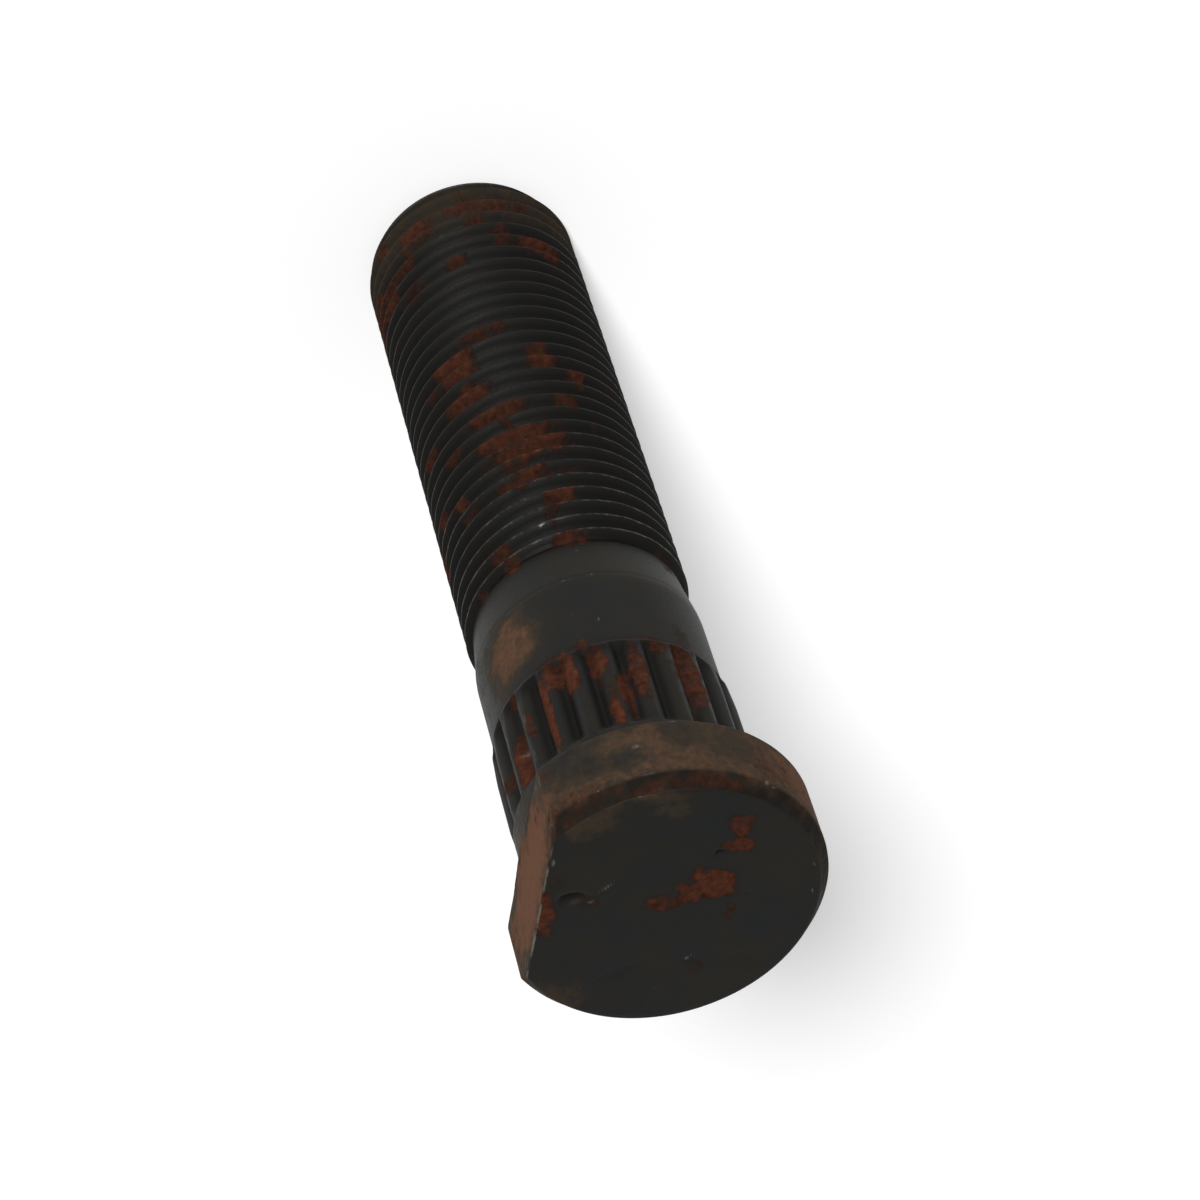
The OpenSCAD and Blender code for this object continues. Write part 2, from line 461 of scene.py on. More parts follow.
# Wear and rust, placed one by one
# A mark on the side: bearing from and to in degrees clockwise from the flat as seen from the head,
# level from and to in mm above the seat (negative towards the thread), and its strength.
RED_MARKS = (
    # near the tip
    (10, 22, -64, -62, 0.8), (30, 56, -62.4, -59.8, 0.85), (58, 112, -63, -60.8, 0.8),
    (70, 84, -62, -59, 0.8), (22, 38, -60, -57.3, 0.85), (83, 98, -59.4, -56.3, 0.75),
    (96, 126, -58.2, -55.8, 1.0), (54, 68, -56.3, -54.5, 0.9), (-30, 5, -60.5, -56.6, 1.0),
    (-2, 22, -59.2, -56, 0.95), (18, 46, -56.2, -53.8, 0.6),
    # middle of the thread
    (48, 75, -47.8, -45.6, 0.75), (28, 58, -46, -42.5, 1.1), (18, 28, -44.2, -43, 0.7),
    (30, 60, -42, -39, 1.05), (-2, 18, -40.2, -37.6, 0.8), (21, 33, -37, -35.5, 0.8),
    (40, 75, -38.4, -36.4, 1.0), (58, 65, -36.6, -35, 0.7), (82, 98, -44.2, -41, 1.0),
    (101, 113, -41.5, -39.3, 1.0), (90, 105, -38.2, -36.6, 0.9), (105, 113, -35.2, -34, 0.6),
    (135, 145, -44, -42, 0.6),
    # thread near the neck
    (40, 88, -35.2, -33.3, 1.0), (45, 93, -33.7, -31.3, 1.0), (50, 65, -31.6, -30, 0.8),
    (50, 78, -30.5, -28.6, 1.0), (80, 97, -30.2, -28.9, 0.7), (-5, 10, -34, -32, 0.9),
    (18, 28, -32, -30.4, 0.9), (17, 33, -30.1, -28.9, 0.8), (68, 87, -27.7, -25.8, 1.0),
    (66, 73, -26, -24, 0.7), (30, 44, -24.5, -22.8, 0.9), (38, 50, -22.9, -21.5, 0.9),
    (15, 25, -22.6, -21.4, 0.8), (66, 87, -23, -21.8, 0.9), (125, 140, -23, -21, 0.7),
    # ribs
    (38, 45, -10.8, -3.5, 1.1), (43, 52, -11.4, -8.2, 1.0), (51, 61, -11.4, -7.2, 1.1),
    (65, 76, -11, -7.2, 1.0), (63, 69, -12.3, -10.8, 0.9), (69, 76, -6.2, -2.6, 1.0),
    (75, 83, -8.4, -3.6, 1.0), (83, 92, -10.6, -5, 0.9), (97, 105, -11, -9.5, 0.9),
    (104, 121, -11.2, -4.8, 0.85), (14, 25, -7.7, -3.3, 1.0), (-3, 12, -6.7, -4.8, 0.8),
    (28, 33, -8.2, -5.8, 0.8), (20, 27, -11.2, -9.8, 0.9), (36, 66, -11.7, -10.7, 0.7),
    (84, 128, -11.7, -10.8, 0.65),
    # head side and chamfer
    (26, 62, 3.3, 6.4, 0.6), (58, 110, 4.7, 6.1, 0.7), (108, 140, 1.0, 4.6, 0.5), (20, 45, 0.3, 2.2, 0.5),
)
# Thin brown rust over the steel, made thicker and warmer round the flat as painted light on it. A negative
# strength keeps dark steel clear of it.
BROWN_MARKS_AND_FLAT_LIGHT = (
    (-180, 180, -65.5, -59.4, 0.75), (8, 46, -17.8, -12.0, 1.1), (110, 124, -13.8, -11.2, 0.7),
    # The film round the flat is thicker and warmer: painted light on the flat
    (-180, 180, -3.4, 0.2, 0.5), (-200, 200, -1.2, 6.4, 0.95), (-50, 50, -0.6, 6.4, 1.45),
    (39, 61, -0.4, 3.0, -0.45), (58, 76, 1.9, 3.6, -0.35), (84, 96, -0.3, 2.6, -0.3),
    (98, 116, 0.6, 3.4, -0.2), (114, 178, -0.8, 5.0, 1.25), (-40, 12, -21.5, -12, 0.42),
)
# Marks on the face of the head: x from and to, y from and to in mm, and the strength
RED_FACE = (
    (-4.5, -1.3, -3.1, -0.5, 1.1), (-2.6, -0.2, -2.2, -0.2, 1.0), (-0.9, 1.6, -1.2, 0.4, 0.9),
    (-4.8, -3.9, -0.2, 1.4, 0.7), (-4.9, -2.7, -5.9, -4.7, 1.0), (-4.6, -2.9, -7.8, -6.1, 1.0),
    (7.2, 8.7, -1.6, 2.4, 1.1), (6.6, 8.0, -3.0, -1.9, 0.6), (-3.6, -2.4, 5.0, 6.2, 0.55),
    (-4.5, 2.0, -11.4, -9.9, 0.75), (4.6, 5.9, -1.2, 0.0, 0.6),
)
BROWN_FACE = (
    (4.2, 9.4, -9.9, -6.4, 0.8), (0.4, 3.9, -10.5, -8.9, 0.8), (-0.4, 2.4, -9.2, -7.8, 0.6),
    (4.2, 9.0, 6.4, 9.4, 0.75), (-11.5, -9.8, -4.5, 3.5, 0.5), (-3.2, 2.0, 9.6, 11.0, 0.4),
)
# Bare bright nicks on the side: bearing, level, half width and half height in mm, depth in mm
SIDE_NICKS = (
    # thread, cone and shoulder
    (57, -58.8, 0.18, 0.12, 0.03), (42, -51, 0.16, 0.13, 0.03), (63, -24.2, 0.2, 0.12, 0.02),
    (58, -22.75, 0.18, 0.12, 0.03), (77, -21.1, 0.16, 0.14, 0.03), (66.5, -20.6, 0.16, 0.16, 0.03),
    (66, -18.1, 0.22, 0.09, 0.03), (69, -18.05, 0.24, 0.07, 0.02), (80, -18.1, 0.14, 0.09, 0.02),
    (56, -16.2, 0.06, 0.08, 0.02), (69, -15.8, 0.09, 0.06, 0.02), (61, -15.4, 0.08, 0.08, 0.02),
    (73, -14.9, 0.07, 0.07, 0.02), (65, -14.6, 0.07, 0.12, 0.02), (77, -13.5, 0.12, 0.3, 0.02),
    # ribs and the head's side
    (20, -6.0, 0.45, 0.18, 0.05), (88, 0.15, 0.25, 0.12, 0.03), (33, 0.5, 0.3, 0.2, 0.05),
    (52, 0.6, 0.4, 0.25, 0.06), (73, 1.9, 0.3, 0.35, 0.05), (150, 3.2, 0.25, 0.5, 0.04),
    (57, 4.6, 0.2, 0.1, 0.05), (117, 4.6, 0.2, 0.2, 0.05), (64, 4.65, 0.3, 0.07, 0.04),
    (120, 4.7, 0.3, 0.08, 0.05),
)
# Bare bright nicks on the face: x, y, half lengths in mm, turn in degrees, depth in mm
FACE_NICKS = (
    (4.25, -1.85, 0.85, 0.15, 45, 0.06), (5.1, -0.65, 0.3, 0.12, 15, 0.04), (-2.2, 4.8, 0.26, 0.22, 0, 0.08),
    (-2.6, 4.6, 0.5, 0.08, -35, 0.04), (-0.5, 7.5, 0.16, 0.14, 0, 0.04), (8.05, -4.2, 0.2, 0.5, 0, 0.05),
    (-9.3, -3.4, 0.12, 0.35, 15, 0.04), (-9.6, -1.0, 0.1, 0.3, 5, 0.03), (-5.4, -1.1, 0.12, 0.1, 0, 0.03),
    (3.2, -9.7, 0.6, 0.1, 10, 0.03), (-6.4, -9.0, 0.3, 0.1, 35, 0.04),
)
# Struck dents without bright metal on the face: x, y, half lengths in mm, turn, depth
FACE_DENTS = (
    (6.35, -0.95, 0.85, 0.45, 12, 0.42), (-2.8, -4.6, 0.35, 0.25, 0, 0.25), (5.9, -8.3, 0.5, 0.2, 20, 0.08),
    (2.4, 5.8, 1.4, 0.5, 30, 0.03), (-6.2, 5.1, 1.2, 0.7, -20, 0.03),
)
# Bearings are counted from this one of the flat's middle, as read in the photo
FLAT_BEARING = 1.27
# Where marks on the side overlap, their strength is held below this
MOST_STRENGTH = 1.5
# How square the corners of a patch are: 2 would give an ellipse
PATCH_POWER = 2.4

# Rust by chance on the side that the photo doesn't show: bearings, number and seed
HIDDEN_SIDE = (165, 335)
HIDDEN_MARKS = 46
MARK_SEED = 7
HIDDEN_LEVELS = (-64, -3)
HIDDEN_STRENGTH = (0.6, 1.1)
HIDDEN_TOP = -2.5
# Widths in degrees and heights in mm of these marks, on the thread and on the ribs
THREAD_MARK_SIZE = ((8, 34), (1.1, 3.2))
RIB_MARK_SIZE = ((4, 10), (2, 6))
# The cone and the shoulder stay clear: a mark that would start there starts this much lower
CLEAR_LEVELS = (-21, -12)
CLEAR_SHIFT = 8

# Noises that break up wear and rust: feature size in mm, and a shift that makes each its own.
# The shift is this many times as long along Y as it is along X.
COARSE = (3.1, 3.0)
FINE = (1.1, 11.0)
TINY = (0.45, 23.0)
SHIFT_SLANT = 1.7
# How far the fine and the tiny noise move the edges of patches, and how much more they move red rust's
RAGGED_BY_FINE, RAGGED_BY_TINY = 0.34, 0.22
RED_SIDE_RAGGED, RED_FACE_RAGGED = 1.3, 1.2
# Softness of the edges of patches
RED_SOFT, BROWN_SIDE_SOFT, BROWN_FACE_SOFT = 0.4, 0.6, 0.7

# Depths in mm below a surface, where something on it starts and where it is full.
# A corner of the flat has one such pair below the flat and one below the head's round.
FACE_DEPTHS = (0.12, 0.02)
THREAD_CREST_DEPTHS = (0.06, 0.005)
RIB_CREST_DEPTHS = (0.04, 0.005)
FLAT_DEPTHS = (0.3, 0.1)
FLAT_TOP_DEPTHS = (0.2, 0.06)
FLAT_CORNER_DEPTHS = ((0.5, 0.1), (0.6, 0.15))
RIB_FLANK_DEPTHS = (0.6, 0.05)
RIB_END_DEPTHS = (0.14, 0.02)

# Bare metal on the thread's crests, at the tip and how much more at the neck, and the heights of that change
CREST_WEAR, CREST_WEAR_MORE = 0.1, 0.38
CREST_WEAR_HEIGHTS = (16, 42)
# How speckled each kind of wear and painted shade is: base and swing, and for the crests also the least and
# the most
CREST_SPECKLE = (0.92, 0.3, 0.6, 1.15)
RIB_SPECKLE = (0.7, 1.0)
FLAT_TOP_SPECKLE = (0.7, 1.1)
FLAT_CORNER_SPECKLE = (0.5, 1.2)
CHAMFER_SPECKLE = (0.85, 0.5)
TIP_SPECKLE = (0.8, 0.6)
# Bare metal on the rib crests everywhere, and a painted highlight round two bearings (bearing, half width,
# how much)
RIB_WEAR = 0.2
RIB_PAINTED_HIGHLIGHT = ((20, 14, 0.42), (112, 12, 0.3))
# Worn edges all round: height, half width, least radius, strength, and the base and swing of its speckle
WORN_EDGES = (
    (SHOULDER_BOTTOM, 0.09, 0.0, 0.4, 0.2, 1.4),
    (CHAMFER_LOW, 0.1, HEAD_R - 0.1, 0.45, 0.35, 1.3),
    (SEAT_Z, 0.12, HEAD_R - 0.25, 0.4, 0.3, 1.2),
)
FLAT_TOP_WEAR = 0.85
FLAT_CORNER_WEAR = 0.5
NICK_WEAR = 0.8
# A dent this deep is darkened in full
DARKEST_DENT = 0.2

# Painted shade, and darkening at the foot of the thread and in dents. Crests of the thread, its tip and rusty
# rib flanks have this much less of it.
CREST_LESS_SHADE, TIP_LESS_SHADE, RUSTY_RIB_LESS_SHADE = 0.28, 0.55, 0.5
CREST_LESS_SHADE_FROM, CREST_LESS_SHADE_TO = ROOT_R + 0.3, THREAD_R - 0.02
TIP_HEIGHTS = (3.5, 7.5)
# Painted shade at the lower ends of the rib grooves: height and half width
RIB_END_SHADE = (RIB_BOTTOM + 0.75, 0.85)
# A darker band at the foot of the thread: its strength and half width
NECK_DARKER, NECK_DARKER_W = 0.7, 0.35
# How dark the deepest dents are
DENT_DARKER = 0.9
# Painted shade on the face's rusty patches
RUSTY_FACE_SHADE = 0.35
# Painted shade on the chamfer and rim of the head, from these heights up
CHAMFER_SHADE = 0.95
CHAMFER_SHADE_HEIGHTS = (CHAMFER_LOW - 0.1, CHAMFER_LOW + 0.15)
# Painted shade towards the tip
TIP_SHADE = 0.4
# Painted shade on one side of the shoulder, from just above its foot up to the ribs
SHOULDER_SHADE = 0.55
SHOULDER_SHADE_BEARINGS = (84, 108)
SHOULDER_SHADE_HEIGHTS = (SHOULDER_BOTTOM, SHOULDER_BOTTOM + 1)

# Uneven surface in mm: the forged head by coarse and fine noise, and the crests all over and where nicked
FORGED_COARSE, FORGED_FINE = 0.028, 0.008
FACE_FORGED_SHARE = 0.5
CREST_LOSS, CREST_NICK = 0.02, 0.035

# The bare layer also holds a painted highlight on the ribs
# The film layer also holds painted light on the flat
# The last layer is painted shade, with darkening at the foot of the thread and in dents
LAYER_NAMES = ("rust", "film", "bare", "shade_and_darkening")


def noise_at(points, size, shift):
    """Soft noise of about -1 to 1 at points in mm, with a feature size in mm."""
    offset = Vector((shift, SHIFT_SLANT * shift, -shift))
    return np.array([noise.noise(Vector(p) / size + offset) for p in points])


def smooth(values, low, high):
    """0 below low and 1 above high, with an eased change between them."""
    share = np.clip((values - low) / (high - low), 0, 1)
    return share * share * (3 - 2 * share)


def near_surface(values, surface, depths):
    """0 deeper below a surface than the first depth, and 1 from the second depth outwards."""
    return smooth(values, surface - depths[0], surface - depths[1])


def speckled(grain, base, swing, least=0, most=1):
    """Uneven strength: a base with noise on it, held between two values."""
    return np.clip(base + swing * grain, least, most)


def shortest_turn(bearing, middle):
    """Degrees from a middle bearing, from -180 to 180."""
    return (bearing - middle + 180) % 360 - 180


def patch(across, along, ragged, soft):
    """A soft-edged patch from distances scaled so that its edge is at 1."""
    reach = (np.abs(across) ** PATCH_POWER + np.abs(along) ** PATCH_POWER) ** (1 / PATCH_POWER)
    return 1 - smooth(reach + ragged, 1 - soft, 1 + soft)


def scaled(values, start, end):
    """Distances from the middle of a span, where its ends are at -1 and 1."""
    return (values - (start + end) / 2) / ((end - start) / 2)


def side_marks(marks, at, ragged, soft):
    """Strength of a list of side marks at each point."""
    total = np.zeros(len(at.z))
    for start, end, low, high, strength in marks:
        full_round = end - start >= 360
        turn = shortest_turn(at.bearing, (start + end) / 2)
        across = np.zeros(len(at.z)) if full_round else turn / ((end - start) / 2)
        shape = patch(across, scaled(at.level, low, high), ragged, soft)
        total = np.maximum(total, strength * shape) if strength > 0 else total + strength * shape
    return np.clip(total, 0, MOST_STRENGTH)


def face_marks(marks, at, ragged, soft):
    """Strength of a list of face marks at each point."""
    total = np.zeros(len(at.z))
    for x0, x1, y0, y1, strength in marks:
        total = np.maximum(total, strength * patch(scaled(at.x, x0, x1), scaled(at.y, y0, y1), ragged, soft))
    return total


def squared_offset(at, mark):
    """Square of the distance from a face mark's middle, where the mark's own ellipse is at 1."""
    x0, y0, long, short, turn, _ = mark
    c, s = math.cos(math.radians(turn)), math.sin(math.radians(turn))
    along = ((at.x - x0) * c + (at.y - y0) * s) / long
    across = ((at.y - y0) * c - (at.x - x0) * s) / short
    return along * along + across * across


def hidden_marks():
    """Rust on the side that the photo doesn't show: the same kinds of marks, spread by chance."""
    rng = np.random.default_rng(MARK_SEED)
    marks = []
    for _ in range(HIDDEN_MARKS):
        start = rng.uniform(*HIDDEN_SIDE)
        low = rng.uniform(*HIDDEN_LEVELS)
        if CLEAR_LEVELS[0] < low < CLEAR_LEVELS[1]:
            low -= CLEAR_SHIFT
        wide, tall = (rng.uniform(*size) for size in THREAD_MARK_SIZE)
        if low > CLEAR_LEVELS[1]:
            wide, tall = (rng.uniform(*size) for size in RIB_MARK_SIZE)
        marks.append((start, start + wide, low, min(low + tall, HIDDEN_TOP), rng.uniform(*HIDDEN_STRENGTH)))
    return tuple(marks)


def skin_places(mesh):
    """Where each point of the skin lies, in mm and degrees, with the noises and the zones there."""
    flat_list = np.empty(len(mesh.vertices) * 3)
    mesh.vertices.foreach_get("co", flat_list)
    points = flat_list.reshape(-1, 3) / MM
    at = SimpleNamespace(x=points[:, 0], y=points[:, 1], z=points[:, 2])
    at.radius = np.hypot(at.x, at.y)
    at.bearing = -np.degrees(np.arctan2(at.y, at.x)) - FLAT_BEARING
    at.level = at.z - SEAT_Z
    at.coarse, at.fine, at.tiny = (noise_at(points, *kind) for kind in (COARSE, FINE, TINY))
    at.on_face = near_surface(at.z, HEAD_TOP, FACE_DEPTHS)
    at.on_head = at.z > SEAT_Z - DOUBLE
    at.near_flat = at.on_head * near_surface(at.x, FLAT_X, FLAT_DEPTHS)
    at.on_ribs = (at.z > RIB_BOTTOM) & (at.z < RIB_TOP)
    at.on_thread = at.z < NECK_BOTTOM
    at.on_crest = at.on_thread * near_surface(at.radius, THREAD_R, THREAD_CREST_DEPTHS)
    at.near_tip = 1 - smooth(at.z, *TIP_HEIGHTS)
    return at


def rust_and_film(at):
    """How much red rust and how much thin brown film each point has."""
    ragged = RAGGED_BY_FINE * at.fine + RAGGED_BY_TINY * at.tiny
    red_side = side_marks(RED_MARKS + hidden_marks(), at, RED_SIDE_RAGGED * ragged, RED_SOFT)
    red_face = face_marks(RED_FACE, at, RED_FACE_RAGGED * ragged, RED_SOFT)
    brown_side = side_marks(BROWN_MARKS_AND_FLAT_LIGHT, at, ragged, BROWN_SIDE_SOFT)
    brown_face = face_marks(BROWN_FACE, at, ragged, BROWN_FACE_SOFT)
    return tuple(np.maximum(side * (1 - at.on_face), face * at.on_face)
                 for side, face in ((red_side, red_face), (brown_side, brown_face)))


def worn_metal_and_highlight(at):
    """How much bare metal shows on crests and edges that have been rubbed, with a painted highlight on two
    sides of the ribs.
    """
    toward_neck = smooth(at.z, *CREST_WEAR_HEIGHTS)
    crest_wear = CREST_WEAR + CREST_WEAR_MORE * toward_neck
    wear = at.on_crest * crest_wear * speckled(at.fine, *CREST_SPECKLE)
    # More bare metal round two bearings of the ribs is a painted highlight
    ribs = RIB_WEAR + sum(more * band(at.bearing, middle, half) for middle, half, more in RIB_PAINTED_HIGHLIGHT)
    rib_crests = at.on_ribs * near_surface(at.radius, RIB_R, RIB_CREST_DEPTHS)
    wear = np.maximum(wear, rib_crests * ribs * speckled(at.coarse, *RIB_SPECKLE))
    for height, half_width, least_r, strength, base, swing in WORN_EDGES:
        edge = band(at.z, height, half_width) * (at.radius > least_r)
        wear = np.maximum(wear, strength * edge * speckled(at.fine, base, swing))
    flat_top = at.near_flat * near_surface(at.z, HEAD_TOP, FLAT_TOP_DEPTHS)
    wear = np.maximum(wear, FLAT_TOP_WEAR * flat_top * speckled(at.fine, *FLAT_TOP_SPECKLE))
    flat_depths, round_depths = FLAT_CORNER_DEPTHS
    corner = (at.on_head * near_surface(at.x, FLAT_X, flat_depths)
              * near_surface(at.radius, HEAD_R, round_depths))
    return np.maximum(wear, FLAT_CORNER_WEAR * corner * speckled(at.fine, *FLAT_CORNER_SPECKLE))


def struck_marks(at):
    """Nicks and dents: bare metal in them, how far the side and the face sink, and how dented the face is."""
    bare, sink, drop, dent = (np.zeros(len(at.z)) for _ in range(4))
    for bearing, level, wide, tall, depth in SIDE_NICKS:
        along = np.radians(shortest_turn(at.bearing, bearing)) * at.radius
        shape = np.exp(-(along / wide) ** 2 - ((at.level - level) / tall) ** 2) * (1 - at.on_face)
        bare = np.maximum(bare, NICK_WEAR * shape)
        sink += depth * shape
    for mark in FACE_NICKS:
        shape = np.exp(-squared_offset(at, mark)) * at.on_face
        bare = np.maximum(bare, NICK_WEAR * shape)
        drop += mark[-1] * shape
    for mark in FACE_DENTS:
        shape = np.exp(-squared_offset(at, mark) ** 2) * at.on_face
        dent = np.maximum(dent, shape * min(1, mark[-1] / DARKEST_DENT))
        drop += mark[-1] * shape
    return bare, sink, drop, dent


def painted_shade_and_darkening(at, red, dent):
    """Painted shade in roots, grooves and corners and on the rusty face, the chamfer, the tip and the
    shoulder, and darkening in dents.
    """
    rusty = np.clip(red, 0, 1)
    crests = smooth(at.radius, CREST_LESS_SHADE_FROM, CREST_LESS_SHADE_TO)
    flanks = 1 - near_surface(at.radius, RIB_R, RIB_FLANK_DEPTHS)
    rib_ends = band(at.z, *RIB_END_SHADE) * (1 - near_surface(at.radius, RIB_R, RIB_END_DEPTHS))
    chamfer = at.on_head * (1 - at.on_face) * smooth(at.z, *CHAMFER_SHADE_HEIGHTS) * (1 - at.near_flat)
    shoulder = (smooth(at.bearing, *SHOULDER_SHADE_BEARINGS) * smooth(at.z, *SHOULDER_SHADE_HEIGHTS)
                * (at.z < RIB_BOTTOM))
    return np.maximum.reduce([
        # Painted shade over the thread, deepest in its roots
        at.on_thread * (1 - CREST_LESS_SHADE * crests) * (1 - TIP_LESS_SHADE * at.near_tip),
        # Painted shade on the ribs' flanks and grooves, less where they are rusty
        at.on_ribs * flanks * (1 - RUSTY_RIB_LESS_SHADE * rusty),
        rib_ends,
        NECK_DARKER * band(at.z, NECK_BOTTOM, NECK_DARKER_W),
        DENT_DARKER * dent,
        RUSTY_FACE_SHADE * at.on_face * rusty,
        CHAMFER_SHADE * chamfer * speckled(at.fine, *CHAMFER_SPECKLE),
        TIP_SHADE * at.near_tip * speckled(at.fine, *TIP_SPECKLE),
        SHOULDER_SHADE * shoulder,
    ])


def weather(mesh):
    """Moves the skin's points for wear and dents, and stores each layer's strength at every point."""
    at = skin_places(mesh)
    red, brown = rust_and_film(at)
    nicked, sink, drop, dent = struck_marks(at)
    layers = (red, brown, np.maximum(worn_metal_and_highlight(at), nicked), painted_shade_and_darkening(at, red, dent))

    forged = at.on_head * (FORGED_COARSE * (1 + at.coarse) + FORGED_FINE * (1 + at.fine))
    worn_crest = at.on_crest * (CREST_LOSS + CREST_NICK * np.clip(at.tiny + at.fine, 0, 1))
    inward = sink + worn_crest + np.where(at.on_face > 0.5, 0, forged)
    scale = 1 - inward / np.maximum(at.radius, 1)
    height = at.z - drop - at.on_face * FACE_FORGED_SHARE * forged
    moved = np.stack([at.x * scale, at.y * scale, height], axis=1)
    mesh.vertices.foreach_set("co", (moved * MM).ravel())
    mesh.update()
    for name, values in zip(LAYER_NAMES, layers):
        mesh.attributes.new(name, "FLOAT", "POINT").data.foreach_set("value", values.astype(np.float32))


# Finishes
def linear(hex_colour):
    """A colour from its sRGB hex value, for a shader's socket."""
    parts = [int(hex_colour[i:i + 2], 16) / 255 for i in (0, 2, 4)]
    return tuple(c / 12.92 if c <= 0.04045 else ((c + 0.055) / 1.055) ** 2.4 for c in parts) + (1.0,)


def per_mm(size):
    """Texture scale for a feature size in mm, on Object coordinates in metres."""
    return 1 / (size * MM)


# Phosphate coat: near black, between a blue and a green cast, and darker under painted shade and in darkened
# dents
COAT_BLUE = linear("212223")
COAT_GREEN = linear("26241e")
COAT_DARK = linear("0e0d0b")
# Rust from deep red in thin places to orange where it is thick, and the thin brown film of it
RUST_RED = linear("2c150d")
RUST_ORANGE = linear("542e1e")
RUST_FILM = linear("3e3327")
RUST_FILM_WARM = linear("664634")
BARE_STEEL = linear("7f7c76")
# Noises of the surface: feature size in mm, detail and roughness.
# The grain is drawn about three times as coarse as real crystals so that it shows.
GRAIN = (0.16, 2.0, 0.5)
PITS = (0.5, 4.0, 0.65)
BREAKS = (0.75, 6.0, 0.7)
CLOUDS = (3.0, 3.0, 0.5)
# A layer over the coat: the strengths where it starts to show and where it covers all, and the swing of noise
FILM_EDGE = (0.2, 1.2, 1.4)
RUST_EDGE = (0.26, 1.08, 2.2)
BARE_EDGE = (0.3, 1.2, 0.8)
# Spans over which the coat's cast turns green, the film turns warm and the rust turns orange
GREEN_SPAN = (0.32, 0.68)
WARM_SPAN = (1.3, 1.95)
ORANGE_SPAN = (1.6, 2.65)
# How much pits count in the colour of rust, against its strength
PIT_WEIGHT = 2.4
# Painted shade and other darkening hide nearly all of the coat's cast, and half as much of the rust's colour
SHADE_COVER = 0.92
SHADE_ON_RUST = 0.5
# The coat is satin, with part of the metal's sheen, and rust is dull. Grain adds to the roughness, and
# wear takes some of it off, so that worn edges glint.
COAT_METALLIC = 0.56
COAT_ROUGHNESS = 0.44
RUST_ROUGHNESS = 0.82
GRAIN_ROUGHNESS = 0.16
BARE_POLISH = 0.2
SPECULAR_LEVEL = 0.07
# Depth of the relief in mm and how strongly it shows, with the height of grain against that of crust
BUMP_DEPTH = 0.05
BUMP_STRENGTH = 0.8
GRAIN_HEIGHT = 0.25
# The table's own white, and how much the camera sees it lifted towards paper white
TABLE_WHITE = linear("e9e9e9")
TABLE_LIFT = 0.3


def empty_tree(owner):
    """The owner's node tree, with nothing in it."""
    owner.use_nodes = True
    owner.node_tree.nodes.clear()
    return owner.node_tree


def seen_directly(tree):
    """1 for what the camera sees itself or in a shiny surface, and 0 for light that falls on other things."""
    path = add(tree, "ShaderNodeLightPath").node
    return add(tree, "ShaderNodeMath", {"Value": path.outputs["Is Camera Ray"],
                                        "Value_001": path.outputs["Is Glossy Ray"]}, operation="MAXIMUM")


def cover(tree, strength, raggedness, edge):
    """How far a layer covers what lies under it: its strength with noise on it passes a soft threshold."""
    shows, full, swing = edge
    rough_edge = add(tree, "ShaderNodeMath",
                     {"Value": raggedness, "Value_001": swing, "Value_002": -swing / 2},
                     operation="MULTIPLY_ADD")
    total = add(tree, "ShaderNodeMath", {"Value": strength, "Value_001": rough_edge}, operation="ADD")
    return add(tree, "ShaderNodeMapRange", {"Value": total, "From Min": shows, "From Max": full},
               interpolation_type="SMOOTHSTEP")


def laid_over(tree, colour, *layers):
    """A colour with layers on it in their order, each given as (how far it covers, its colour)."""
    for amount, above in layers:
        colour = add(tree, "ShaderNodeMix", {"Factor_Float": amount, "A_Color": colour, "B_Color": above},
                     data_type="RGBA", clamp_factor=True)
    return colour


def steel_layers(tree):
    """The noises of the steel's surface, and how far each layer covers the coat."""
    place = add(tree, "ShaderNodeTexCoord", gives="Object")
    rust_in, film_in, bare_in, shade_and_darkening_in = (
        add(tree, "ShaderNodeAttribute", gives="Fac", attribute_name=name) for name in LAYER_NAMES)
    grain, pits, breaks, clouds = (
        add(tree, "ShaderNodeTexNoise", {"Vector": place, "Scale": per_mm(size), "Detail": detail,
                                         "Roughness": rough}, gives="Fac")
        for size, detail, rough in (GRAIN, PITS, BREAKS, CLOUDS))
    film = cover(tree, film_in, breaks, FILM_EDGE)
    rust = cover(tree, rust_in, breaks, RUST_EDGE)
    bare = cover(tree, bare_in, pits, BARE_EDGE)
    covered = add(tree, "ShaderNodeMath", {"Value": film, "Value_001": rust}, operation="MAXIMUM")
    # Painted shade, with darkening in dents and at the foot of the thread
    shade_and_darkening_share = add(tree, "ShaderNodeMath", {"Value": shade_and_darkening_in, "Value_001": SHADE_COVER}, operation="MULTIPLY")
    return SimpleNamespace(grain=grain, pits=pits, clouds=clouds, rust_in=rust_in, film_in=film_in,
                           film=film, rust=rust, bare=bare, covered=covered, shade_and_darkening_share=shade_and_darkening_share)


